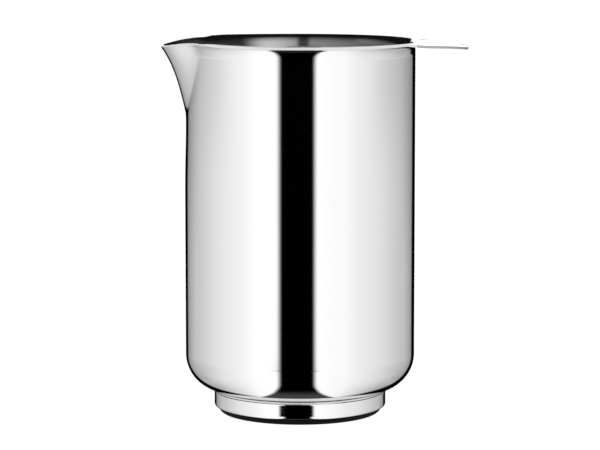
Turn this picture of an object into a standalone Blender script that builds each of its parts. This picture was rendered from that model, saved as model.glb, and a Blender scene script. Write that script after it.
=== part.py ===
"""A mixing jug: a drawn steel body with a pressed spout and a finger tab, on a steel foot with a soft ring.

Lengths are in metres and +Z is up. The jug stands on z = 0, its spout points to -X and its tab to +X.
"""

import math

import bmesh
import bpy

# Sheet and fits
SHEET = 0.0012  # thickness of the steel
CLEARANCE = 0.0003  # gap between pieces that seat on each other

# Drawn body
BODY_RADIUS = 0.0550  # outside of the wall
BODY_HEIGHT = 0.1674  # underside of the bottom to the top of the rim
CORNER_RADIUS = 0.0170  # outside, between the bottom and the wall

# Flared rim
FLARE_HEIGHT = 0.0052  # part of the wall that leans out under the rim
FLARE_WIDTH = 0.0034  # how far it leans
FLARE_LEAN = 1.6  # power of the leaning part: 1 is a cone, more starts gently
FLARE_ROUND_SHARE = 0.15  # share of the width that the last bend takes
FLARE_ROUND = 12  # power of that bend
FLARE_END = 0.8  # share of the rim's rows that the flare takes, before the flat edge
RIM_REACH = 0.0036  # edge of the rim beyond the wall
RIM_CLIMB = 0.0006  # how far the rim climbs towards the spout
RIM_CLIMB_FADE = (math.radians(20), math.radians(90))  # angles from the spout over which it climbs

# Pressed spout
SPOUT_REACH = 0.0114  # tip of the lip beyond the wall
SPOUT_HEIGHT = 0.0320  # tip of the lip down to the point where the spout starts
SPOUT_HALF_ANGLE = math.radians(33)  # half of the wall that the spout takes up
SPOUT_CROWN = 2.5  # powers of the bell across the spout, which give it a round front and soft sides
SPOUT_SPREAD = 1 / 3  # power by which the spout widens upwards
SPOUT_LIP_DROP = 0.0028  # tip of the lip below the top of the rim
SPOUT_LIP_RISE = 0.0003  # sides of the lip above the top of the rim
SPOUT_LIP_HALF_ANGLE = math.radians(34)  # half of the rim over which the lip drops
SPOUT_PULL_IN = 0.0006  # how far the press draws the wall in at the start of the spout
SPOUT_PULL_LENGTH = 0.0380  # length of wall, up and down, over which that fades
SPOUT_PULL_ANGLE = math.radians(16)
SPOUT_GROOVE_DEPTH = 0.0003  # crease that the press leaves on each side of the spout
SPOUT_GROOVE_WIDTH = math.radians(5)
SPOUT_GROOVE_SHIFT = math.radians(3.5)  # how far it lies inside the spout's side
SPOUT_STRAIGHT_SHARE = 0.66  # 1 is a straight front line, less turns out towards the tip
SPOUT_TURN_OUT = 4  # power of that turn
SPOUT_SOFTNESS = 0.06  # rounding at the start of the spout, as a share of its height
RIM_FADE = (math.radians(8), math.radians(50))  # where the spout's plain lip gives way to the flared rim

# Finger tab
TAB_REACH = 0.0250  # end of the tab beyond the wall
TAB_HALF_ANGLE = math.radians(32)  # half of the rim that the tab takes up
TAB_CROWN = 3  # power that gives the tab's end its blunt round
TAB_FLANK = 2  # power that runs its sides smoothly into the rim
TAB_SET_DOWN = 0.00135  # how far the tab lies below the rim
TAB_SET_LENGTH = 0.0050  # distance over which it goes down
TAB_TIP_CURL = 0.0014  # further drop at the end
TAB_TIP_POWER = 4  # how late that drop comes
TAB_BEND_HEIGHT = 0.0014  # the tab leaves the wall in a tight bend, in place of the flare
TAB_BEND_WIDTH = 0.0008
TAB_FADE = (math.radians(4), math.radians(21))  # where that bend gives way to the flare

# Steel foot
FOOT_INSET = 0.01375  # wall of the foot inside the body's wall
FOOT_HEIGHT = 0.0082  # lip to seat
FOOT_SHOULDER_RADIUS = 0.0014  # outside of the bend into the seat
FOOT_EDGE_RADIUS = 0.0014  # outside of the bend into the lip
FOOT_SEAT_WIDTH = 0.0070  # flat band that is welded to the body's bottom
FOOT_LIP_WIDTH = 0.0046  # lip, from the outside of the wall inwards

# Soft ring
RING_STAND = 0.0027  # height of the ring below the lip
RING_WIDTH = 0.0082  # its base, at the widest
RING_ROUNDING = 0.0028  # how far its outer side rounds in towards the table
RING_BEAD_HEIGHT = 0.0018  # bead that holds it above the lip
RING_BEAD_REACH = 0.0016  # how far the bead reaches over the lip
RING_BEAD_WIDTH = 0.0042

# Facets
SEGMENTS = 60
ARC_STEPS = 6
SPOUT_ROWS = 8
PULL_ROWS = 4
FLARE_ROWS = 6
EDGE_ROWS = 5
FOOT_STEPS = 4
MERGE = 1e-6  # points closer than this are one
SHARP_ANGLE = math.radians(35)  # edges that turn more than this stay sharp

# Heights and radii that follow
FOOT_LIP_Z = RING_STAND + CLEARANCE
FOOT_SEAT_Z = FOOT_LIP_Z + FOOT_HEIGHT
BODY_BOTTOM_Z = FOOT_SEAT_Z + CLEARANCE
RIM_Z = BODY_BOTTOM_Z + BODY_HEIGHT
FLARE_TOP_Z = RIM_Z - SHEET
FLARE_START_Z = FLARE_TOP_Z - FLARE_HEIGHT
SPOUT_TIP_Z = RIM_Z - SPOUT_LIP_DROP
SPOUT_START_Z = SPOUT_TIP_Z - SPOUT_HEIGHT
FOOT_RADIUS = BODY_RADIUS - FOOT_INSET
FOOT_LIP_RADIUS = FOOT_RADIUS - FOOT_LIP_WIDTH
AXIS_X = (SPOUT_REACH - TAB_REACH) / 2  # the jug's axis, with the whole jug centred on the origin


def smoothstep(value, low, high):
    t = min(max((value - low) / (high - low), 0.0), 1.0)
    return t * t * (3 - 2 * t)


def arc(centre, radius, start, end, steps=ARC_STEPS):
    """Points (r, z) along a round stretch of a section, angles in degrees from +r towards +z."""
    turns = [math.radians(start + (end - start) * i / steps) for i in range(steps + 1)]
    return [(centre[0] + radius * math.cos(a), centre[1] + radius * math.sin(a)) for a in turns]


def spout_bell(share):
    """Height of the spout across its width: 1 on its centre line and 0 at its sides."""
    return (1 - min(share, 1.0) ** SPOUT_CROWN) ** SPOUT_CROWN


def pressed_radius(turn, z):
    """Radius of the wall's outside at an angle from the spout's centre line."""
    fade = max(0.0, 1 - abs(z - SPOUT_START_Z) / SPOUT_PULL_LENGTH)
    pull = SPOUT_PULL_IN * math.sin(fade * math.pi / 2) ** 2 * math.exp(-((turn / SPOUT_PULL_ANGLE) ** 2))
    rise = (z - SPOUT_START_Z) / SPOUT_HEIGHT
    rise = (rise + math.hypot(rise, SPOUT_SOFTNESS)) / 2
    turn_out = (1 - SPOUT_STRAIGHT_SHARE) * rise**SPOUT_TURN_OUT
    front = SPOUT_REACH * (SPOUT_STRAIGHT_SHARE * rise + turn_out)
    half_width = SPOUT_HALF_ANGLE * rise**SPOUT_SPREAD
    crease = (abs(turn) - half_width + SPOUT_GROOVE_SHIFT) / SPOUT_GROOVE_WIDTH
    groove = SPOUT_GROOVE_DEPTH * math.sin(math.pi * min(rise, 1.0)) * math.exp(-(crease**2))
    return BODY_RADIUS - pull - groove + front * spout_bell(abs(turn) / half_width)


def rim_reach(turn):
    """Edge of the rim beyond the wall, which grows into the tab, at an angle from the tab's centre line."""
    share = min(abs(turn) / TAB_HALF_ANGLE, 1.0)
    return RIM_REACH + (TAB_REACH - RIM_REACH) * (1 - share**TAB_CROWN) ** TAB_FLANK


def set_down(out):
    """How far the tab lies below the rim, at a distance beyond its bend."""
    curl = TAB_TIP_CURL * (out / (TAB_REACH - TAB_BEND_WIDTH)) ** TAB_TIP_POWER
    return TAB_SET_DOWN * (1 - math.exp(-out / TAB_SET_LENGTH)) + curl


def flare_point(turn, along):
    """(out, z) on the flared rim's underside: out is from the wall, along is 0 there and 1 at the edge."""
    rise = min(along / FLARE_END, 1.0)
    lean = (1 - FLARE_ROUND_SHARE) * rise**FLARE_LEAN + FLARE_ROUND_SHARE * rise**FLARE_ROUND
    beyond = (rim_reach(turn) - FLARE_WIDTH) * max(along - FLARE_END, 0.0) / (1 - FLARE_END)
    return FLARE_WIDTH * lean + beyond, FLARE_TOP_Z - FLARE_HEIGHT * (1 - rise) - set_down(beyond)


def tab_point(turn, along):
    """The same on the underside of the tab, which leaves the wall in a round bend."""
    lean = min(along / FLARE_END, 1.0) * math.pi / 2
    beyond = (rim_reach(turn) - TAB_BEND_WIDTH) * max(along - FLARE_END, 0.0) / (1 - FLARE_END)
    out = TAB_BEND_WIDTH * (1 - math.cos(lean)) + beyond
    return out, FLARE_TOP_Z - TAB_BEND_HEIGHT * (1 - math.sin(lean)) - set_down(beyond)


def mixed(first, second, share):
    return [a + (b - a) * share for a, b in zip(first, second)]


def rim_point(angle, along):
    """(r, z) on the underside of rim, tab or spout lip: along is 0 at the wall and 1 at the edge."""
    from_spout = math.pi - abs(angle)
    drop = (SPOUT_LIP_DROP + SPOUT_LIP_RISE) * spout_bell(from_spout / SPOUT_LIP_HALF_ANGLE)
    spout_z = FLARE_START_Z + (RIM_Z + SPOUT_LIP_RISE - drop - FLARE_START_Z) * along
    spout = (pressed_radius(from_spout, spout_z), spout_z)
    out, z = mixed(tab_point(angle, along), flare_point(angle, along), smoothstep(abs(angle), *TAB_FADE))
    climb = 1 + RIM_CLIMB * (1 - smoothstep(from_spout, *RIM_CLIMB_FADE)) / FLARE_HEIGHT
    rim = (pressed_radius(from_spout, FLARE_START_Z) + out, FLARE_START_Z + (z - FLARE_START_Z) * climb)
    return mixed(spout, rim, smoothstep(from_spout, *RIM_FADE))


def body_column(angle):
    """Section (r, z) of the body's outside at one angle, from the bottom's centre to the rim's edge."""
    flat = BODY_RADIUS - CORNER_RADIUS
    corner_z = BODY_BOTTOM_Z + CORNER_RADIUS
    column = [(0.0, BODY_BOTTOM_Z)] + arc((flat, corner_z), CORNER_RADIUS, -90, 0)
    pull_start = max(SPOUT_START_Z - SPOUT_PULL_LENGTH, corner_z + CLEARANCE)
    levels = [pull_start + (SPOUT_START_Z - pull_start) * i / PULL_ROWS for i in range(PULL_ROWS)]
    levels += [SPOUT_START_Z + (FLARE_START_Z - SPOUT_START_Z) * i / SPOUT_ROWS for i in range(SPOUT_ROWS)]
    column += [(pressed_radius(math.pi - abs(angle), z), z) for z in levels]
    steps = [FLARE_END * i / FLARE_ROWS for i in range(FLARE_ROWS)]
    steps += [FLARE_END + (1 - FLARE_END) * i / EDGE_ROWS for i in range(EDGE_ROWS + 1)]
    return column + [rim_point(angle, along) for along in steps]


def body_mesh():
    """The body's outside, as columns of points joined round the axis."""
    mesh = bmesh.new()
    angles = [2 * math.pi * i / SEGMENTS - math.pi for i in range(SEGMENTS)]
    columns = []
    for angle in angles:
        section = body_column(angle)
        columns.append([mesh.verts.new((r * math.cos(angle), r * math.sin(angle), z)) for r, z in section])
    for first, second in zip(columns, columns[1:] + columns[:1]):
        for row in range(len(first) - 1):
            mesh.faces.new((first[row], second[row], second[row + 1], first[row + 1]))
    bmesh.ops.remove_doubles(mesh, verts=mesh.verts, dist=MERGE)
    return mesh


def turned_mesh(section, closed):
    """A section of (r, z) points spun about the axis."""
    mesh = bmesh.new()
    points = [mesh.verts.new((r, 0.0, z)) for r, z in section]
    edges = [mesh.edges.new(pair) for pair in zip(points, points[1:])]
    if closed:
        edges.append(mesh.edges.new((points[-1], points[0])))
    axis = {"cent": (0, 0, 0), "axis": (0, 0, 1)}
    bmesh.ops.spin(mesh, geom=points + edges, angle=2 * math.pi, steps=SEGMENTS, use_merge=True, **axis)
    if closed:
        bmesh.ops.recalc_face_normals(mesh, faces=mesh.faces)
    return mesh


def foot_section():
    """Outside of the foot's sheet, from the inner edge of its seat down to the edge of its lip."""
    shoulder = (FOOT_RADIUS - FOOT_SHOULDER_RADIUS, FOOT_SEAT_Z - FOOT_SHOULDER_RADIUS)
    edge = (FOOT_RADIUS - FOOT_EDGE_RADIUS, FOOT_LIP_Z + FOOT_EDGE_RADIUS)
    section = [(shoulder[0] - FOOT_SEAT_WIDTH, FOOT_SEAT_Z)]
    section += arc(shoulder, FOOT_SHOULDER_RADIUS, 90, 0, FOOT_STEPS)
    section += arc(edge, FOOT_EDGE_RADIUS, 0, -90, FOOT_STEPS)
    return section + [(FOOT_LIP_RADIUS, FOOT_LIP_Z)]


def ring_section():
    """Closed section of the soft ring: a rounded base, a groove for the foot's lip, and a bead above it."""
    groove = FOOT_LIP_RADIUS - CLEARANCE
    outer = groove + RING_ROUNDING
    inner = outer - RING_WIDTH
    bead_z = FOOT_LIP_Z + SHEET + CLEARANCE
    bead = FOOT_LIP_RADIUS + RING_BEAD_REACH
    quarter = [math.radians(90 * i / ARC_STEPS) for i in range(ARC_STEPS + 1)]
    section = [(inner, 0.0)]
    section += [(groove + RING_ROUNDING * math.sin(a), RING_STAND * (1 - math.cos(a))) for a in quarter]
    section += [(groove, RING_STAND), (groove, bead_z), (bead, bead_z)]
    section += [(bead - RING_BEAD_HEIGHT / 2, bead_z + RING_BEAD_HEIGHT)]
    return section + [(bead - RING_BEAD_WIDTH, bead_z + RING_BEAD_HEIGHT), (inner, RING_STAND)]


def finish(name, colour, roughness, metallic):
    material = bpy.data.materials.new(name)
    material.use_nodes = True
    shader = material.node_tree.nodes["Principled BSDF"]
    shader.inputs["Base Color"].default_value = (*colour, 1.0)
    shader.inputs["Roughness"].default_value = roughness
    shader.inputs["Metallic"].default_value = metallic
    return material


def add_piece(name, mesh, material, axis, sheet=None):
    """One named object on the jug's axis. A sheet is given its thickness inwards."""
    data = bpy.data.meshes.new(name)
    mesh.to_mesh(data)
    mesh.free()
    data.shade_smooth()
    data.set_sharp_from_angle(angle=SHARP_ANGLE)
    data.materials.append(material)
    piece = bpy.data.objects.new(name, data)
    bpy.context.scene.collection.objects.link(piece)
    piece.parent = axis
    if sheet:
        wall = piece.modifiers.new("sheet", "SOLIDIFY")
        wall.thickness = sheet
        wall.offset = -1
        wall.use_even_offset = True
        wall.use_quality_normals = True
    return piece


def main():
    for old in list(bpy.data.objects):
        bpy.data.objects.remove(old, do_unlink=True)
    axis = bpy.data.objects.new("jug_axis", None)
    axis.location.x = AXIS_X
    bpy.context.scene.collection.objects.link(axis)

    polished = finish("polished_stainless_steel", (0.66, 0.66, 0.67), 0.08, 1.0)
    pressed = finish("pressed_stainless_steel", (0.64, 0.64, 0.65), 0.12, 1.0)
    rubber = finish("black_silicone_rubber", (0.012, 0.012, 0.013), 0.65, 0.0)

    add_piece("jug_body", body_mesh(), polished, axis, SHEET)
    add_piece("foot_ring", turned_mesh(foot_section(), closed=False), pressed, axis, SHEET)
    add_piece("anti_slip_ring", turned_mesh(ring_section(), closed=True), rubber, axis)


main()
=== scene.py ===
# %% [markdown]
# A polished steel mixing jug. The real one is three pieces: a cup drawn from one steel sheet, a pressed
# steel foot and a black silicone ring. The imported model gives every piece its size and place. This lesson
# models the same pieces again with a finer surface, because a mirror finish shows each facet of a coarse
# mesh.

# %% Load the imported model
import math

import bpy
import numpy as np
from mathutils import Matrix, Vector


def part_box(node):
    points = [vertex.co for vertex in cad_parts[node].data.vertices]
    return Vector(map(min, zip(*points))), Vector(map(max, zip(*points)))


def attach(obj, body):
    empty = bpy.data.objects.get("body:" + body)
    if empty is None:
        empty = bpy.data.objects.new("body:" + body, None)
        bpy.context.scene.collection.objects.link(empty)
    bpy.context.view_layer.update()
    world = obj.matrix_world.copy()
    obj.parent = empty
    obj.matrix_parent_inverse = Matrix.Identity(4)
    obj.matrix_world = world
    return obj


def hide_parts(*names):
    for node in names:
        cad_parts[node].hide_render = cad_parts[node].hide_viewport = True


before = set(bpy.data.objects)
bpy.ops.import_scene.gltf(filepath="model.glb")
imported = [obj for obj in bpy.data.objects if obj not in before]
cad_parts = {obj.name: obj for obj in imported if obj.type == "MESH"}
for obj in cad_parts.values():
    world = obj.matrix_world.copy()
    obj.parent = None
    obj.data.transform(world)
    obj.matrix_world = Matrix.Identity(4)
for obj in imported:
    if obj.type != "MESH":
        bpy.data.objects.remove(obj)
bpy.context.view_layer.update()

MM = 0.001

# %% [markdown]
# Sizes first. The foot is round, so its middle is the axis that the jug was turned about. The jug's lowest
# point and the foot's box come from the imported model. The rest are the sheet's own sizes in millimetres,
# which say how the press shaped it. Under the rim the wall leans out in a flare, and it ends in a flat
# edge.

# %% Sizes of the cup and its rim
body_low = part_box("jug_body")[0]
foot_low, foot_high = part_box("foot_ring")

AXIS_X = (foot_low[0] + foot_high[0]) / 2
SHEET = 1.2 * MM
BODY_RADIUS = 55.0 * MM
BODY_HEIGHT = 167.4 * MM
CORNER_RADIUS = 17.0 * MM
FLARE_HEIGHT = 5.2 * MM
FLARE_WIDTH = 3.4 * MM
FLARE_LEAN = 1.6  # power of the leaning part: 1 is a cone, more starts gently
FLARE_ROUND_SHARE = 0.15  # share of the width that the last bend takes
FLARE_ROUND = 12  # power of that bend
FLARE_END = 0.8  # share of the rim's rows that the flare takes, before the flat edge
RIM_REACH = 3.6 * MM  # edge of the rim beyond the wall
RIM_CLIMB = 0.6 * MM  # how far the rim climbs towards the spout
RIM_CLIMB_FADE = (math.radians(20), math.radians(90))  # angles from the spout over which it climbs

BODY_BOTTOM_Z = body_low[2]
CORNER_TOP_Z = BODY_BOTTOM_Z + CORNER_RADIUS
RIM_Z = BODY_BOTTOM_Z + BODY_HEIGHT
FLARE_TOP_Z = RIM_Z - SHEET
FLARE_START_Z = FLARE_TOP_Z - FLARE_HEIGHT
print(f"axis at x = {AXIS_X / MM:.1f} mm, rim at {RIM_Z / MM:.1f} mm")

# %% [markdown]
# The spout is pressed out of the wall: it starts at a point, widens upwards and ends in a lip that dips
# below the rim. The press also draws the wall in a little round that point, and leaves a crease on each
# side.

# %% Sizes of the spout
SPOUT_REACH = 11.4 * MM  # tip of the lip beyond the wall
SPOUT_HEIGHT = 32.0 * MM  # tip of the lip down to the point where the spout starts
SPOUT_HALF_ANGLE = math.radians(33)
SPOUT_CROWN = 2.5  # powers of the bell across the spout, which give it a round front and soft sides
SPOUT_LIP_DROP = 2.8 * MM  # tip of the lip below the top of the rim
SPOUT_LIP_RISE = 0.3 * MM  # sides of the lip above the top of the rim
SPOUT_LIP_HALF_ANGLE = math.radians(34)
SPOUT_PULL_IN = 0.6 * MM
SPOUT_PULL_LENGTH = 38.0 * MM  # length of wall, up and down, over which the pull fades
SPOUT_PULL_ANGLE = math.radians(16)
SPOUT_GROOVE_DEPTH = 0.3 * MM
SPOUT_GROOVE_WIDTH = math.radians(5)
SPOUT_GROOVE_SHIFT = math.radians(3.5)  # how far the crease lies inside the spout's side
SPOUT_STRAIGHT_SHARE = 0.66  # 1 is a straight front line, less turns out towards the tip
SPOUT_TURN_OUT = 4  # power of that turn
SPOUT_SOFTNESS = 0.06  # rounding at the start of the spout, as a share of its height
RIM_FADE = (math.radians(8), math.radians(50))  # where the plain lip gives way to the flared rim

SPOUT_START_Z = RIM_Z - SPOUT_LIP_DROP - SPOUT_HEIGHT
print(f"spout starts at {SPOUT_START_Z / MM:.1f} mm")

# %% [markdown]
# Opposite the spout, the same sheet runs out into a flat tab for a finger. It leaves the wall in a tight
# bend in place of the flare, lies a little below the rim and curls down at its end.

# %% Sizes of the tab
TAB_REACH = 25.0 * MM  # end of the tab beyond the wall
TAB_HALF_ANGLE = math.radians(32)
TAB_CROWN = 3  # power that gives the tab's end its blunt round
TAB_FLANK = 2  # power that runs its sides smoothly into the rim
TAB_SET_DOWN = 1.35 * MM  # how far the tab lies below the rim
TAB_SET_LENGTH = 5.0 * MM  # distance over which it goes down
TAB_TIP_CURL = 1.4 * MM  # further drop at the end
TAB_TIP_POWER = 4  # how late that drop comes
TAB_BEND_HEIGHT = 1.4 * MM
TAB_BEND_WIDTH = 0.8 * MM
TAB_FADE = (math.radians(4), math.radians(21))  # where the bend gives way to the flare
print(f"tab is {TAB_REACH / MM:.0f} mm long and {2 * math.degrees(TAB_HALF_ANGLE):.0f} degrees wide")

# %% [markdown]
# Round pieces start as a section: half of the outline, drawn on one side of the axis. By hand you would add
# a plane, merge it to one point, and extrude that point along the outline. Spin then turns the section into
# a full round. This helper does those steps in the same order.

# %% Draw a section and spin it
COLUMNS = 288
MERGE = 0.001 * MM


def arc(centre, radius, start, end, steps):
    """Points (r, z) on a round stretch, angles in degrees from outwards towards up."""
    turns = np.radians(np.linspace(start, end, steps + 1))
    return [(centre[0] + radius * math.cos(a), centre[1] + radius * math.sin(a)) for a in turns]


def spin_section(name, section, closed=False):
    """A new object whose section (r, z) is spun about the jug's axis."""
    bpy.ops.object.select_all(action="DESELECT")
    bpy.ops.mesh.primitive_plane_add(size=MM, location=(0, 0, 0))
    piece = bpy.context.object
    piece.name = piece.data.name = name
    bpy.ops.object.mode_set(mode="EDIT")
    bpy.ops.mesh.select_all(action="SELECT")
    bpy.ops.mesh.merge(type="CENTER")
    here = (AXIS_X + section[0][0], section[0][1])
    bpy.ops.transform.translate(value=(here[0], 0, here[1]))
    for r, z in section[1:]:
        step = (AXIS_X + r - here[0], 0, z - here[1])
        bpy.ops.mesh.extrude_region_move(TRANSFORM_OT_translate={"value": step})
        here = (AXIS_X + r, z)
    bpy.ops.mesh.select_all(action="SELECT")
    if closed:
        bpy.ops.mesh.remove_doubles(threshold=MERGE)
    bpy.ops.mesh.spin(steps=COLUMNS, angle=2 * math.pi, center=(AXIS_X, 0, 0), axis=(0, 0, 1))
    bpy.ops.mesh.select_all(action="SELECT")
    bpy.ops.mesh.remove_doubles(threshold=MERGE)
    bpy.ops.mesh.normals_make_consistent(inside=False)
    bpy.ops.object.mode_set(mode="OBJECT")
    print(name, "spun:", len(piece.data.polygons), "faces")
    return piece


# %% [markdown]
# The real cup is drawn as a straight tube with a round corner, and pressed afterwards. The blank is made
# the same way: a straight wall, and above it a band of sheet that will become the rim, the tab and the lip
# of the spout. The rows are close where the press will bend the sheet. One extra row just above the corner
# keeps the corner's shading off the long faces of the wall.

# %% The drawn blank
BAND = 10.0 * MM
BOTTOM_SHARES = (0.0, 0.25, 0.5, 0.75)
CORNER_STEPS = 26
CORNER_SUPPORT = 0.3 * MM
WALL_ROWS = 4
PULL_ROWS = 20
SPOUT_ROWS = 42
FLARE_ROWS = 36
EDGE_ROWS = 16


def rows(low, high, count):
    """Heights of a number of rows, up to and with the last."""
    return list(np.linspace(low, high, count + 1)[1:])


def blank_section():
    flat = BODY_RADIUS - CORNER_RADIUS
    section = [(flat * share, BODY_BOTTOM_Z) for share in BOTTOM_SHARES]
    section += arc((flat, CORNER_TOP_Z), CORNER_RADIUS, -90, 0, CORNER_STEPS)
    pull_start = SPOUT_START_Z - SPOUT_PULL_LENGTH
    flare_end = FLARE_START_Z + FLARE_END * BAND
    levels = [CORNER_TOP_Z + CORNER_SUPPORT] + rows(CORNER_TOP_Z, pull_start, WALL_ROWS)
    levels += rows(pull_start, SPOUT_START_Z, PULL_ROWS)
    levels += rows(SPOUT_START_Z, FLARE_START_Z, SPOUT_ROWS)
    levels += rows(FLARE_START_Z, flare_end, FLARE_ROWS)
    levels += rows(flare_end, FLARE_START_Z + BAND, EDGE_ROWS)
    return section + [(BODY_RADIUS, z) for z in levels]


jug = spin_section("polished_jug", blank_section())

# %% [markdown]
# Pressing the sheet. Proportional editing could pull a soft bump, but a spout has a straight front line,
# sides that close to a point and a lip that leaves the rim, and a mirror shows every dent. So each point of
# the blank is moved by a rule: how far round it is from the spout or the tab, and how high it is on the
# blank. First the rule for the wall and the spout.

# %% The spout's shape


def smoothstep(value, low, high):
    t = np.clip((value - low) / (high - low), 0, 1)
    return t * t * (3 - 2 * t)


def spout_bell(share):
    """Height of the spout across its width: 1 on its centre line and 0 at its sides."""
    return (1 - np.minimum(share, 1) ** SPOUT_CROWN) ** SPOUT_CROWN


def pressed_radius(turn, z):
    """Radius of the wall's outside at an angle from the spout's centre line."""
    fade = np.clip(1 - np.abs(z - SPOUT_START_Z) / SPOUT_PULL_LENGTH, 0, 1)
    pull = SPOUT_PULL_IN * np.sin(fade * math.pi / 2) ** 2 * np.exp(-((turn / SPOUT_PULL_ANGLE) ** 2))
    rise = (z - SPOUT_START_Z) / SPOUT_HEIGHT
    rise = (rise + np.hypot(rise, SPOUT_SOFTNESS)) / 2
    turn_out = (1 - SPOUT_STRAIGHT_SHARE) * rise**SPOUT_TURN_OUT
    front = SPOUT_REACH * (SPOUT_STRAIGHT_SHARE * rise + turn_out)
    half_width = SPOUT_HALF_ANGLE * np.cbrt(rise)
    crease = (turn - half_width + SPOUT_GROOVE_SHIFT) / SPOUT_GROOVE_WIDTH
    groove = SPOUT_GROOVE_DEPTH * np.sin(math.pi * np.minimum(rise, 1)) * np.exp(-(crease**2))
    return BODY_RADIUS - pull - groove + front * spout_bell(turn / half_width)


tip_radius = pressed_radius(0.0, SPOUT_START_Z + SPOUT_HEIGHT)
print(f"spout reaches {(tip_radius - BODY_RADIUS) / MM:.1f} mm beyond the wall")

# %% [markdown]
# Then the rules for the rim and the tab. Both are drawn as their underside: how far out a point lies from
# the wall, and at which height. The rim's edge grows into the tab, so one rule gives the reach of both.

# %% The rim's and the tab's shape


def rim_reach(turn):
    """Edge of the rim beyond the wall, which grows into the tab."""
    share = np.minimum(turn / TAB_HALF_ANGLE, 1)
    return RIM_REACH + (TAB_REACH - RIM_REACH) * (1 - share**TAB_CROWN) ** TAB_FLANK


def set_down(out):
    """How far the tab lies below the rim, at a distance beyond its bend."""
    curl = TAB_TIP_CURL * (out / (TAB_REACH - TAB_BEND_WIDTH)) ** TAB_TIP_POWER
    return TAB_SET_DOWN * (1 - np.exp(-out / TAB_SET_LENGTH)) + curl


def flare_point(turn, along):
    """(out, z) on the underside of the flared rim: along is 0 at the wall and 1 at the edge."""
    rise = np.minimum(along / FLARE_END, 1)
    lean = (1 - FLARE_ROUND_SHARE) * rise**FLARE_LEAN + FLARE_ROUND_SHARE * rise**FLARE_ROUND
    beyond = (rim_reach(turn) - FLARE_WIDTH) * np.maximum(along - FLARE_END, 0) / (1 - FLARE_END)
    return FLARE_WIDTH * lean + beyond, FLARE_TOP_Z - FLARE_HEIGHT * (1 - rise) - set_down(beyond)


def tab_point(turn, along):
    """The same on the underside of the tab, which leaves the wall in a round bend."""
    lean = np.minimum(along / FLARE_END, 1) * math.pi / 2
    beyond = (rim_reach(turn) - TAB_BEND_WIDTH) * np.maximum(along - FLARE_END, 0) / (1 - FLARE_END)
    out = TAB_BEND_WIDTH * (1 - np.cos(lean)) + beyond
    return out, FLARE_TOP_Z - TAB_BEND_HEIGHT * (1 - np.sin(lean)) - set_down(beyond)


print(f"tab lies {set_down(TAB_REACH - TAB_BEND_WIDTH) / MM:.1f} mm below the rim at its end")

# %% [markdown]
# Last, the three rules run into each other round the rim, and every point of the blank is moved. The
# spout's lip has no flare, so the rim fades into it.

# %% Press the blank


def mixed(first, second, share):
    return [a + (b - a) * share for a, b in zip(first, second)]


def rim_point(from_tab, along):
    """(r, z) on the underside of the rim, the tab or the spout's lip: along is 0 at the wall."""
    from_spout = math.pi - from_tab
    drop = (SPOUT_LIP_DROP + SPOUT_LIP_RISE) * spout_bell(from_spout / SPOUT_LIP_HALF_ANGLE)
    spout_z = FLARE_START_Z + (RIM_Z + SPOUT_LIP_RISE - drop - FLARE_START_Z) * along
    spout = (pressed_radius(from_spout, spout_z), spout_z)
    flared = smoothstep(from_tab, *TAB_FADE)
    out, z = mixed(tab_point(from_tab, along), flare_point(from_tab, along), flared)
    climb = 1 + RIM_CLIMB * (1 - smoothstep(from_spout, *RIM_CLIMB_FADE)) / FLARE_HEIGHT
    wall = pressed_radius(from_spout, np.full_like(along, FLARE_START_Z))
    rim = (wall + out, FLARE_START_Z + (z - FLARE_START_Z) * climb)
    return mixed(spout, rim, smoothstep(from_spout, *RIM_FADE))


def press_blank(piece):
    """Move every point of the blank to its place, and say how large the result is."""
    points = np.empty(len(piece.data.vertices) * 3)
    piece.data.vertices.foreach_get("co", points)
    x, y, z = points.reshape(-1, 3).T
    x = x - AXIS_X
    angle = np.arctan2(y, x)
    from_tab = np.abs(angle)
    radius = np.hypot(x, y)
    wall = (z > CORNER_TOP_Z) & (z <= FLARE_START_Z)
    wall_radius = pressed_radius(math.pi - from_tab, np.clip(z, CORNER_TOP_Z, FLARE_START_Z))
    along = np.clip((z - FLARE_START_Z) / BAND, 0, 1)
    rim_r, rim_z = rim_point(from_tab, along)
    radius = np.where(z > FLARE_START_Z, rim_r, np.where(wall, wall_radius, radius))
    z = np.where(z > FLARE_START_Z, rim_z, z)
    moved = np.stack([AXIS_X + radius * np.cos(angle), radius * np.sin(angle), z], axis=1)
    piece.data.vertices.foreach_set("co", moved.ravel())
    piece.data.update()
    return np.ptp(moved, axis=0)


print("pressed jug spans", [round(v / MM, 1) for v in press_blank(jug)], "mm")

# %% [markdown]
# The sheet still has no thickness. Solidify grows it inwards, with material slots of their own for the
# inside and the cut edge. A small Bevel takes the burr off that edge, as the maker does so that the rim is
# safe to hold. This helper does both, for the jug now and for the foot later.

# %% Helper that gives a sheet its thickness
OUTSIDE, INSIDE, CUT_EDGE, TAB_EDGE = range(4)
EDGE_ANGLE = math.radians(50)
EDGE_SEGMENTS = 3


def apply_modifier(piece, kind, **settings):
    bpy.ops.object.select_all(action="DESELECT")
    bpy.context.view_layer.objects.active = piece
    piece.select_set(True)
    modifier = piece.modifiers.new(kind.lower(), kind)
    for name, value in settings.items():
        setattr(modifier, name, value)
    bpy.ops.object.modifier_apply(modifier=modifier.name)


def thicken(piece, edge):
    """Grow a sheet inwards and round its cut edge, whose width is given."""
    slots = {"material_offset": INSIDE - OUTSIDE, "material_offset_rim": CUT_EDGE - OUTSIDE}
    corners = {"limit_method": "ANGLE", "angle_limit": EDGE_ANGLE}
    apply_modifier(piece, "SOLIDIFY", thickness=SHEET, offset=-1, use_even_offset=True, **slots)
    apply_modifier(piece, "BEVEL", width=edge, segments=EDGE_SEGMENTS, **corners)
    bpy.ops.object.shade_smooth()
    triangles = sum(len(face.vertices) - 2 for face in piece.data.polygons)
    print(piece.name, "has", triangles, "triangles")


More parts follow.
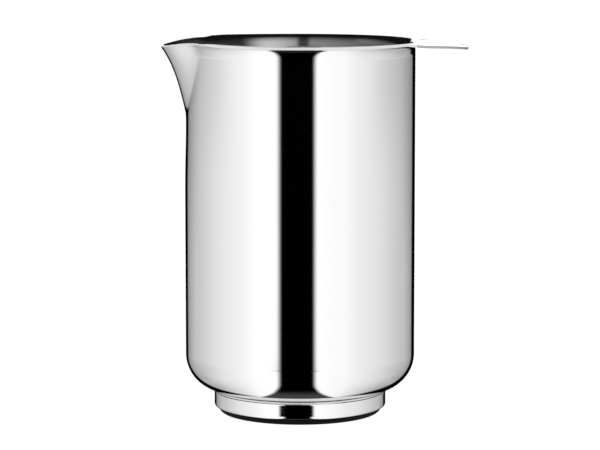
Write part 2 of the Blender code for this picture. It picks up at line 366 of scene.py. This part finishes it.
# %% [markdown]
# Finishes. Colours are written as sRGB hex, the way a colour picker shows them, and turned into the linear
# numbers that the shader mixes. One helper adds a node with its settings and links.

# %% Helpers for materials


def linear(code):
    """Linear colour of an sRGB hex code."""
    parts = [int(code[i : i + 2], 16) / 255 for i in (0, 2, 4)]
    return [v / 12.92 if v <= 0.04045 else ((v + 0.055) / 1.055) ** 2.4 for v in parts] + [1.0]


def add_node(tree, kind, inputs=(), **settings):
    """A node with its settings; an input is given a value, or the socket or node that feeds it."""
    node = tree.nodes.new(kind)
    for name, value in settings.items():
        setattr(node, name, value)
    for socket, value in dict(inputs).items():
        if isinstance(value, bpy.types.Node):
            value = value.outputs[0]
        if isinstance(value, bpy.types.NodeSocket):
            tree.links.new(value, node.inputs[socket])
        else:
            node.inputs[socket].default_value = value
    return node


def new_material(name, colour, roughness, metallic):
    material = bpy.data.materials.new(name)
    material.use_nodes = True
    shader = material.node_tree.nodes["Principled BSDF"]
    shader.inputs["Base Color"].default_value = linear(colour)
    shader.inputs["Roughness"].default_value = roughness
    shader.inputs["Metallic"].default_value = metallic
    return material, material.node_tree, shader


# %% [markdown]
# All the steel is worked on a turning mandrel, so its lines run round the jug. They are a noise that is
# drawn out sideways, a fraction of a millimetre wide and many millimetres long, and they change the
# roughness a little: the eye sees a faint grain in the reflections and no dents. Real polishing lines are
# hundredths of a millimetre wide, too fine to show, so these are drawn coarser.

# %% Steel with fine lines


def lined_steel(name, colour, roughness, line, metallic=1.0):
    """Steel with lines round the jug: its least and most roughness, and a line's width and length."""
    smooth, rough = roughness
    width, length = line
    material, tree, shader = new_material(name, colour, (smooth + rough) / 2, metallic)
    where = add_node(tree, "ShaderNodeTexCoord")
    scale = (1 / length, 1 / length, 1 / width)
    drawn_out = add_node(tree, "ShaderNodeMapping", {"Vector": where.outputs["Object"], "Scale": scale})
    grain = add_node(tree, "ShaderNodeTexNoise", {"Vector": drawn_out, "Scale": 1.0, "Detail": 2.0})
    sheen = add_node(tree, "ShaderNodeMapRange", {"Value": grain, "To Min": smooth, "To Max": rough})
    tree.links.new(sheen.outputs[0], shader.inputs["Roughness"])
    print(f"{name}: lines {width / MM:.2f} mm wide and {length / MM:.0f} mm long")
    return material


# %% [markdown]
# The jug's outside is polished until it is a mirror, and only the faintest lines stay. The foot is buffed
# once more, so that the edges of what its low wall mirrors stay sharp. The inside is only brushed, so that
# it spreads the light along its lines.

# %% Mirror, buffed and satin steel
polished = lined_steel("mirror_polished_stainless_steel", "EFEFF0", (0.03, 0.07), (0.2 * MM, 40 * MM))
buffed = lined_steel("buffed_stainless_steel_foot", "EFEFF0", (0.02, 0.036), (0.2 * MM, 20 * MM))
satin = lined_steel("satin_brushed_stainless_steel", "DEDADC", (0.07, 0.13), (0.3 * MM, 60 * MM))

# %% [markdown]
# The rim's cut edge is ground. It scatters the light of the whole studio and looks pale, so it is mixed
# mostly as a matt surface. The tab's edge is left as the shear cut it: bare metal, greyer, with a dull
# reflection.

# %% Ground and sheared edges
EDGE_LINE = (0.15 * MM, 2 * MM)

ground = lined_steel("ground_stainless_steel_edge", "F4F4F4", (0.4, 0.6), EDGE_LINE, metallic=0.15)
sheared = lined_steel("sheared_stainless_steel_edge", "BCBCBE", (0.36, 0.48), EDGE_LINE)

# %% [markdown]
# Now the jug gets its thickness and its four finishes. Solidify puts the ground finish on the whole cut
# edge, and the faces that lie beyond the wall on the tab's side are then given the sheared one.

# %% Thicken and finish the jug
JUG_EDGE = 0.28 * MM

for material in (polished, satin, ground, sheared):
    jug.data.materials.append(material)
thicken(jug, JUG_EDGE)
cut_edge = [f for f in jug.data.polygons if f.material_index == CUT_EDGE]
tab_edge = [f for f in cut_edge if f.center.x - AXIS_X > BODY_RADIUS]
for face in tab_edge:
    face.material_index = TAB_EDGE
print("tab's edge has", len(tab_edge), "faces")

# %% [markdown]
# The foot is a ring pressed from the same sheet: a flat seat under the jug, a round shoulder, a straight
# wall and a lip turned in at the bottom. It is spun from its outside and thickened inwards, as the jug was.
# The weld draws its seat up to the jug's bottom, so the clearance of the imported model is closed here. Two
# extra rows keep the shading of the bends off the wall.

# %% The steel foot
WELD_GAP = 0.05 * MM
FOOT_RADIUS = (foot_high[0] - foot_low[0]) / 2
FOOT_LIP_Z = foot_low[2]
FOOT_SEAT_Z = BODY_BOTTOM_Z - WELD_GAP
FOOT_SHOULDER_RADIUS = 1.4 * MM
FOOT_EDGE_RADIUS = 1.4 * MM
FOOT_SEAT_WIDTH = 7.0 * MM
FOOT_LIP_WIDTH = 4.6 * MM
FOOT_SUPPORT = 0.2 * MM
FOOT_EDGE_STEPS = 10
FOOT_SHOULDER_STEPS = 14

shoulder = (FOOT_RADIUS - FOOT_SHOULDER_RADIUS, FOOT_SEAT_Z - FOOT_SHOULDER_RADIUS)
edge = (FOOT_RADIUS - FOOT_EDGE_RADIUS, FOOT_LIP_Z + FOOT_EDGE_RADIUS)
foot_section = [(FOOT_RADIUS - FOOT_LIP_WIDTH, FOOT_LIP_Z)]
foot_section += arc(edge, FOOT_EDGE_RADIUS, -90, 0, FOOT_EDGE_STEPS)
foot_section += [(FOOT_RADIUS, edge[1] + FOOT_SUPPORT), (FOOT_RADIUS, shoulder[1] - FOOT_SUPPORT)]
foot_section += arc(shoulder, FOOT_SHOULDER_RADIUS, 0, 90, FOOT_SHOULDER_STEPS)
foot_section += [(shoulder[0] - FOOT_SEAT_WIDTH, FOOT_SEAT_Z)]
foot = spin_section("steel_foot", foot_section)

# %% [markdown]
# An open sheet has no inside, so Blender can't tell which way its faces should look. The foot's wall looks
# away from the axis, and if it doesn't, all the faces are turned round.

# %% Thicken and finish the foot
FOOT_EDGE = 0.2 * MM
UPRIGHT = 0.1  # faces whose normal rises less than this stand upright


def face_outwards(piece):
    """Turn an open sheet by its upright faces, so that they look away from the axis."""
    walls = [f for f in piece.data.polygons if abs(f.normal.z) < UPRIGHT]
    outward = sum(f.area * (f.normal.x * (f.center.x - AXIS_X) + f.normal.y * f.center.y) for f in walls)
    if outward < 0:
        piece.data.flip_normals()


face_outwards(foot)
for material in (buffed, satin, ground):
    foot.data.materials.append(material)
thicken(foot, FOOT_EDGE)

# %% [markdown]
# The ring is moulded silicone: a rounded base on the table, a groove that takes the foot's lip, and a bead
# above the lip that keeps it on. Its section is a closed outline, and a Bevel rounds the edges that the
# mould leaves.

# %% The silicone ring
GAP = 0.3 * MM
RING_ROUNDING = 2.8 * MM
RING_WIDTH = 8.2 * MM
RING_BEAD_HEIGHT = 1.8 * MM
RING_BEAD_REACH = 1.6 * MM
RING_BEAD_WIDTH = 4.2 * MM
RING_STAND = FOOT_LIP_Z - GAP
RING_STEPS = 12
RING_EDGE = 0.15 * MM
RING_EDGE_ANGLE = math.radians(40)

lip = FOOT_RADIUS - FOOT_LIP_WIDTH
groove = lip - GAP
inner = groove + RING_ROUNDING - RING_WIDTH
bead_z = FOOT_LIP_Z + SHEET + GAP
bead = lip + RING_BEAD_REACH
quarter = np.radians(np.linspace(0, 90, RING_STEPS + 1))
ring_section = [(inner, 0.0)]
ring_section += [(groove + RING_ROUNDING * math.sin(a), RING_STAND * (1 - math.cos(a))) for a in quarter]
ring_section += [(groove, RING_STAND), (groove, bead_z), (bead, bead_z)]
ring_section += [(bead - RING_BEAD_HEIGHT / 2, bead_z + RING_BEAD_HEIGHT)]
ring_section += [(bead - RING_BEAD_WIDTH, bead_z + RING_BEAD_HEIGHT), (inner, RING_STAND), (inner, 0.0)]
ring = spin_section("silicone_ring", ring_section, closed=True)
corners = {"limit_method": "ANGLE", "angle_limit": RING_EDGE_ANGLE}
apply_modifier(ring, "BEVEL", width=RING_EDGE, segments=2, **corners)
bpy.ops.object.shade_smooth_by_angle(angle=RING_EDGE_ANGLE)

# %% [markdown]
# Black silicone comes out of a blasted mould with a fine matt grain. A noise of half a millimetre, pressed
# into the surface by a few hundredths, breaks up what little it reflects.

# %% Black silicone
GRAIN = 0.5 * MM
GRAIN_DEPTH = 0.03 * MM

silicone, tree, shader = new_material("moulded_black_silicone", "0E0E0F", 0.7, 0.0)
where = add_node(tree, "ShaderNodeTexCoord")
grain = add_node(tree, "ShaderNodeTexNoise", {"Vector": where.outputs["Object"], "Scale": 1 / GRAIN})
bump = add_node(tree, "ShaderNodeBump", {"Height": grain, "Strength": 0.4, "Distance": GRAIN_DEPTH})
tree.links.new(bump.outputs[0], shader.inputs["Normal"])
shader.inputs["Specular IOR Level"].default_value = 0.12
ring.data.materials.append(silicone)
finishes = (polished, buffed, satin, ground, sheared, silicone)
print("finishes:", ", ".join(material.name for material in finishes))

# %% [markdown]
# Each row names a piece, the solid it stands for and a slot for its finish. Every piece is tied to a body,
# and nothing on this jug moves, so every piece rides on the one root body.

# %% Tie the pieces to the frame
for piece, node, slot in (
    (jug, "jug_body", "polished_steel"),
    (foot, "foot_ring", "pressed_steel"),
    (ring, "anti_slip_ring", "black_silicone"),
):
    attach(piece, "root")
    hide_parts(node)
    print(piece.name, "stands for", node)

# %% [markdown]
# The floor is a wide sheet of white paper, so wide that no edge of it is seen. The camera sees it glow a
# little, as an overexposed backdrop does. The mirror doesn't see it: the studio below is drawn whole, floor
# included.

# %% Floor
FLOOR_SIZE = 20.0
PAPER_GLOW = 1.1
GLOW_SHARE = 0.9  # of what the camera sees; the rest is the paper with the jug's shadow

bpy.ops.object.select_all(action="DESELECT")
bpy.ops.mesh.primitive_plane_add(size=FLOOR_SIZE, location=(0, 0, 0))
floor = bpy.context.object
floor.name = "studio_floor"
floor.visible_glossy = False
paper = bpy.data.materials.new("white_paper")
paper.use_nodes = True
tree = paper.node_tree
tree.nodes.clear()
diffuse = add_node(tree, "ShaderNodeBsdfDiffuse", {"Color": linear("E6E6E6")})
shine = add_node(tree, "ShaderNodeEmission", {"Color": (1, 1, 1, 1), "Strength": PAPER_GLOW})
path = add_node(tree, "ShaderNodeLightPath")
seen = {0: path.outputs["Is Camera Ray"], 1: GLOW_SHARE}
share = add_node(tree, "ShaderNodeMath", seen, operation="MULTIPLY")
surface = add_node(tree, "ShaderNodeMixShader", {0: share, 1: diffuse, 2: shine})
add_node(tree, "ShaderNodeOutputMaterial", {"Surface": surface})
floor.data.materials.append(paper)
print(floor.name, "is", FLOOR_SIZE, "m wide")

# %% [markdown]
# A mirror has hardly any colour of its own: it shows what stands round it. This one stands in a white tent,
# with a dark slit in front where the camera looks in, and darkness behind. The world's nodes draw that
# studio by direction. Each direction is laid out on a flat map as if seen from behind: across and height. A
# slit with straight sides on that map stays straight on the jug, whichever way the wall leans. Side is the
# angle from the front, round to the back. Lean says how far a wall has to tip forward to show a direction.

# %% Directions round the jug
MATH = "ShaderNodeMath"
NEAREST = 0.001  # keeps the map finite straight behind
LEVEL = -0.12  # how far the sight line falls at half the jug's height; an upright wall mirrors it so

world = bpy.data.worlds.new("studio")
bpy.context.scene.world = world
world.use_nodes = True
tree = world.node_tree
tree.nodes.clear()
where = add_node(tree, "ShaderNodeTexCoord")
split = add_node(tree, "ShaderNodeSeparateXYZ", {0: where.outputs["Generated"]})
east, north, up = split.outputs

away = add_node(tree, MATH, {0: 1.0, 1: north}, operation="SUBTRACT")
nearness = add_node(tree, MATH, {0: away, 1: NEAREST}, operation="MAXIMUM")
across = add_node(tree, MATH, {0: east, 1: nearness}, operation="DIVIDE")
height = add_node(tree, MATH, {0: up, 1: nearness}, operation="DIVIDE")
apart = add_node(tree, MATH, {0: across}, operation="ABSOLUTE")

south = add_node(tree, MATH, {0: north, 1: -1.0}, operation="MULTIPLY")
bearing = add_node(tree, MATH, {0: east, 1: south}, operation="ARCTAN2")
side = add_node(tree, MATH, {0: bearing}, operation="ABSOLUTE")
sideways = add_node(tree, MATH, {0: east}, operation="ABSOLUTE")
steepness = add_node(tree, MATH, {0: up, 1: sideways}, operation="DIVIDE")

near_square = add_node(tree, MATH, {0: nearness, 1: nearness}, operation="MULTIPLY")
level_square = add_node(tree, MATH, {0: east, 1: east, 2: near_square}, operation="MULTIPLY_ADD")
level_length = add_node(tree, MATH, {0: level_square}, operation="SQRT")
fall = add_node(tree, MATH, {0: LEVEL, 1: up}, operation="SUBTRACT")
lean = add_node(tree, MATH, {0: fall, 1: level_length}, operation="DIVIDE")
print("measures of direction take", len(tree.nodes), "nodes")

# %% [markdown]
# The studio is painted in patches, as a photographer sets flags and reflectors. A patch fades in between
# two values of each measure that bounds it, so that it has no hard edge. A few helpers set the patches.

# %% Helpers for painting the studio


def patch(*limits):
    """Share of a patch, 0 to 1: each limit is a measure, where on it the patch starts and is full."""
    whole = 1.0
    for measure, start, full in limits:
        bounds = {"Value": measure, "From Min": start, "From Max": full}
        share = add_node(tree, "ShaderNodeMapRange", bounds, interpolation_type="SMOOTHSTEP")
        whole = add_node(tree, MATH, {0: whole, 1: share}, operation="MULTIPLY")
    return whole


def painted(light, level, share):
    """The light, with a patch painted over it at another level."""
    return add_node(tree, "ShaderNodeMix", {0: share, 2: light, 3: level})


def dimmed(light, factor, share):
    """The light, made weaker in a patch by a factor, or stronger by one above 1."""
    return add_node(tree, MATH, {0: light, 1: painted(1.0, factor, share)}, operation="MULTIPLY")


# %% [markdown]
# The tent's cloth is brightest in front and weaker towards the back, as it turns away from the lamps. Seen
# in the jug's front half, a place on the cloth keeps its brightness while the wall leans, so there the
# angle from the front is taken from across. Towards the two sides it is the true angle.

# %% The tent's cloth
BRIGHTEST = 1.2
# Degrees from the front, and light there.
TENT = ((0, 1.16), (45, 1.16), (60, 1.04), (90, 0.885), (120, 0.66), (150, 0.33), (180, 0.2))

wall_turn = add_node(tree, MATH, {0: apart}, operation="ARCTANGENT")
mirrored = add_node(tree, MATH, {0: wall_turn, 1: 2.0}, operation="MULTIPLY")
turn = painted(mirrored, side, patch((apart, 0.8, 1.5)))
half_turn = add_node(tree, MATH, {0: turn, 1: math.pi}, operation="DIVIDE")
cloth = add_node(tree, "ShaderNodeValToRGB", {0: half_turn})
elements = cloth.color_ramp.elements
while len(elements) < len(TENT):
    elements.new(0.5)
for element, (angle, light) in zip(elements, TENT):
    element.position = angle / 180
    element.color = [light / BRIGHTEST] * 3 + [1.0]
tent = add_node(tree, MATH, {0: cloth, 1: BRIGHTEST}, operation="MULTIPLY")
print("tent's light:", [(round(e.position * 180), round(e.color[0] * BRIGHTEST, 2)) for e in elements])

# %% [markdown]
# Then come the cloth's own patches. Its right half hangs further from the lamps. Its sides are weaker high
# up and stronger low down, where the floor throws light back. The floor itself lies in the jug's shade, and
# shows wherever the wall tips forward: under the flare and round the bottom corner.

# %% Shade and light on the tent
FLOOR_LIGHT = 0.75
FLOOR_SHARE = 0.4

for factor, limits in (
    (0.95, [(across, 0.1, 0.4)]),  # right half
    (0.875, [(up, -0.11, -0.065), (apart, 0.6, 1.05)]),  # high on the sides
    (1.12, [(up, -0.1, -0.14), (apart, 1.6, 2.1)]),  # low on the sides
):
    tent = dimmed(tent, factor, patch(*limits))

floor_edge = patch((up, -0.12, -0.35), (apart, 0.9, 1.6), (steepness, -0.8, -1.15))
edge_share = add_node(tree, MATH, {0: floor_edge, 1: FLOOR_SHARE}, operation="MULTIPLY")
tent = painted(tent, FLOOR_LIGHT, edge_share)

floor_shade = painted(0.67, 0.6, patch((across, -0.3, 0.3)))  # left, right
tent = dimmed(tent, floor_shade, patch((lean, 0.2, 1.1), (apart, 0.2, 1.0), (apart, 1.5, 1.0)))
tent = dimmed(tent, 0.93, patch((lean, 0.03, 0.12), (lean, 0.5, 0.2), (apart, 0.5, 1.2)))
print("floor sends back", FLOOR_LIGHT, "beside the jug")

# %% [markdown]
# The slit is the gap in the tent that the camera looks through. It spreads below, where the cloth parts
# towards the floor. The foot's wall is narrower than the jug's and would show a narrower strip, so the slit
# has a wider place low down that only the foot sees. What the steel shows of its own reflection gets a
# wider slit too.

# %% The slit
SLIT_LEFT, SLIT_RIGHT = 0.183, 0.128  # across, from the middle
FOOT_SLIT_LEFT, FOOT_SLIT_RIGHT = 0.242, 0.157
LEFT_BLUR, RIGHT_BLUR = 0.03, 0.027
SPREAD_HEIGHT, SPREAD, SPREAD_SOFTNESS = -0.6, 0.08, 0.015
LOW_HEIGHT, LOW_SPREAD = -1.0, 0.05
SECOND_SPREAD = 0.06
SLIT_DARK = 0.95  # at its foot, where some light gets in

below = add_node(tree, MATH, {0: SPREAD_HEIGHT, 1: height}, operation="SUBTRACT")
square = add_node(tree, MATH, {0: below, 1: below, 2: SPREAD_SOFTNESS}, operation="MULTIPLY_ADD")
rounded = add_node(tree, MATH, {0: square}, operation="SQRT")
opened = add_node(tree, MATH, {0: below, 1: rounded}, operation="ADD")
widening = add_node(tree, MATH, {0: opened, 1: SPREAD}, operation="MULTIPLY")
lower = add_node(tree, MATH, {0: LOW_HEIGHT, 1: height}, operation="SUBTRACT")
lower = add_node(tree, MATH, {0: lower, 1: 0.0}, operation="MAXIMUM")
widening = add_node(tree, MATH, {0: lower, 1: LOW_SPREAD, 2: widening}, operation="MULTIPLY_ADD")
path = add_node(tree, "ShaderNodeLightPath")
second = add_node(tree, MATH, {0: path.outputs["Glossy Depth"], 1: 1.5}, operation="GREATER_THAN")
widening = add_node(tree, MATH, {0: second, 1: SECOND_SPREAD, 2: widening}, operation="MULTIPLY_ADD")

at_foot = patch((up, -0.1765, -0.1795), (up, -0.2, -0.194))
left_edge = painted(SLIT_LEFT, FOOT_SLIT_LEFT, at_foot)
right_edge = painted(SLIT_RIGHT, FOOT_SLIT_RIGHT, at_foot)
from_left = add_node(tree, MATH, {0: across, 1: left_edge}, operation="ADD")
from_left = add_node(tree, MATH, {0: from_left, 1: widening}, operation="ADD")
from_right = add_node(tree, MATH, {0: right_edge, 1: across}, operation="SUBTRACT")
from_right = add_node(tree, MATH, {0: from_right, 1: widening}, operation="ADD")
left_limit = (from_left, -LEFT_BLUR, LEFT_BLUR)
right_limit = (from_right, -RIGHT_BLUR, RIGHT_BLUR)
slit = patch(left_limit, right_limit, (height, 0.12, 0.06))
slit = dimmed(slit, SLIT_DARK, patch((height, -0.75, -1.3)))
print("slit is", round(SLIT_LEFT + SLIT_RIGHT, 3), "wide on the map")

# %% [markdown]
# Behind the jug the cloth ends. The dark room there outlines the jug's two sides, and draws the dark bar
# under the rim. Its edge stands a little further forward on the right.

# %% The dark room
ROOM_SHIFT = math.radians(2.5)
ROOM_EDGE = (math.radians(150), math.radians(157))

on_right = patch((across, 0.0, 1.0))
turned = add_node(tree, MATH, {0: on_right, 1: ROOM_SHIFT, 2: side}, operation="MULTIPLY_ADD")
room = patch((turned, *ROOM_EDGE), (up, -0.88, -0.66), (up, 0.03, -0.01))
print("room starts", round(math.degrees(ROOM_EDGE[0])), "degrees from the front")

# %% [markdown]
# Above the horizon the tent is open in front, and that is what the inside of the jug shows: one soft lamp
# to the right of the middle, a haze that it leaves on the left, a weaker lamp high on the left, and the
# dark pole that carries the tent. All of it fades to a dark ceiling.

# %% The glow above
LAMP = 0.4
HAZE = 0.28
DUSK = 0.04  # where neither reaches
CEILING = 0.004
HIGH_LAMP = 0.13
POLE = 0.15
LAMP_EDGE = (across, 0.61, 0.31)

lamp = patch((across, -0.09, 0.28), LAMP_EDGE)
haze = patch((across, -1.25, 0.11), LAMP_EDGE)
glow = add_node(tree, MATH, {0: lamp, 1: LAMP, 2: DUSK}, operation="MULTIPLY_ADD")
glow = add_node(tree, MATH, {0: haze, 1: HAZE, 2: glow}, operation="MULTIPLY_ADD")
low_down = patch((height, 0.95, 0.42))
glow = add_node(tree, MATH, {0: glow, 1: low_down, 2: CEILING}, operation="MULTIPLY_ADD")
high_left = patch((across, -0.45, -0.7), (height, 1.1, 0.7), (height, 0.4, 0.7))
glow = add_node(tree, MATH, {0: high_left, 1: HIGH_LAMP, 2: glow}, operation="MULTIPLY_ADD")
glow = dimmed(glow, POLE, patch((across, -0.1, -0.06), (across, 0.035, 0.005), (height, 0.1, 0.2)))
print("glow: lamp", LAMP, "and haze", HAZE)

# %% [markdown]
# Put together: the tent below and the glow above, a white wall far behind that lights the top of the tab,
# and the two dark places on top. A second reflection, as in the crevice above the foot, sees a plain bright
# tent in front. Only reflections show all this: the camera and matt surfaces get plain white.

# %% The whole studio
BACK_WALL = 1.4
BACK_EDGE = (math.radians(164), math.radians(172))
SECOND_LIGHT = 0.9
SECOND_EDGE = (math.radians(130), math.radians(95))

studio = painted(tent, glow, patch((up, 0.02, 0.15)))
studio = painted(studio, BACK_WALL, patch((side, *BACK_EDGE), (up, 0.0, 0.03), (up, 0.4, 0.25)))
dark = add_node(tree, MATH, {0: slit, 1: room}, operation="MAXIMUM")
clear = add_node(tree, MATH, {0: 1.0, 1: dark}, operation="SUBTRACT")
studio = add_node(tree, MATH, {0: studio, 1: clear}, operation="MULTIPLY")
front = patch((up, 0.05, -0.1), (up, -0.93, -0.83), (side, *SECOND_EDGE))
again = add_node(tree, MATH, {0: front, 1: second}, operation="MULTIPLY")
studio = painted(studio, SECOND_LIGHT, again)
strength = painted(1.0, studio, path.outputs["Is Glossy Ray"])
background = add_node(tree, "ShaderNodeBackground", {"Color": (1, 1, 1, 1), "Strength": strength})
add_node(tree, "ShaderNodeOutputWorld", {"Surface": background})
print("studio takes", len(tree.nodes), "nodes")

# %% [markdown]
# The camera stands well back with a long lens, so that the wall's two sides look parallel, and looks
# slightly down, so that the inside just shows over the front of the rim.

# %% Camera
CAMERA_DISTANCE = 1.338
CAMERA_HEIGHT = 0.2531
CAMERA_TILT = 6.935  # degrees down from level

camera_data = bpy.data.cameras.new("camera")
camera_data.sensor_width = 36.0
camera_data.lens = 168.5
camera = bpy.data.objects.new("camera", camera_data)
bpy.context.scene.collection.objects.link(camera)
camera.location = (AXIS_X, -CAMERA_DISTANCE, CAMERA_HEIGHT)
camera.rotation_euler = (math.radians(90 - CAMERA_TILT), 0, 0)
bpy.context.scene.camera = camera
bpy.context.scene.view_settings.view_transform = "Standard"
print("camera stands", CAMERA_DISTANCE, "m away")
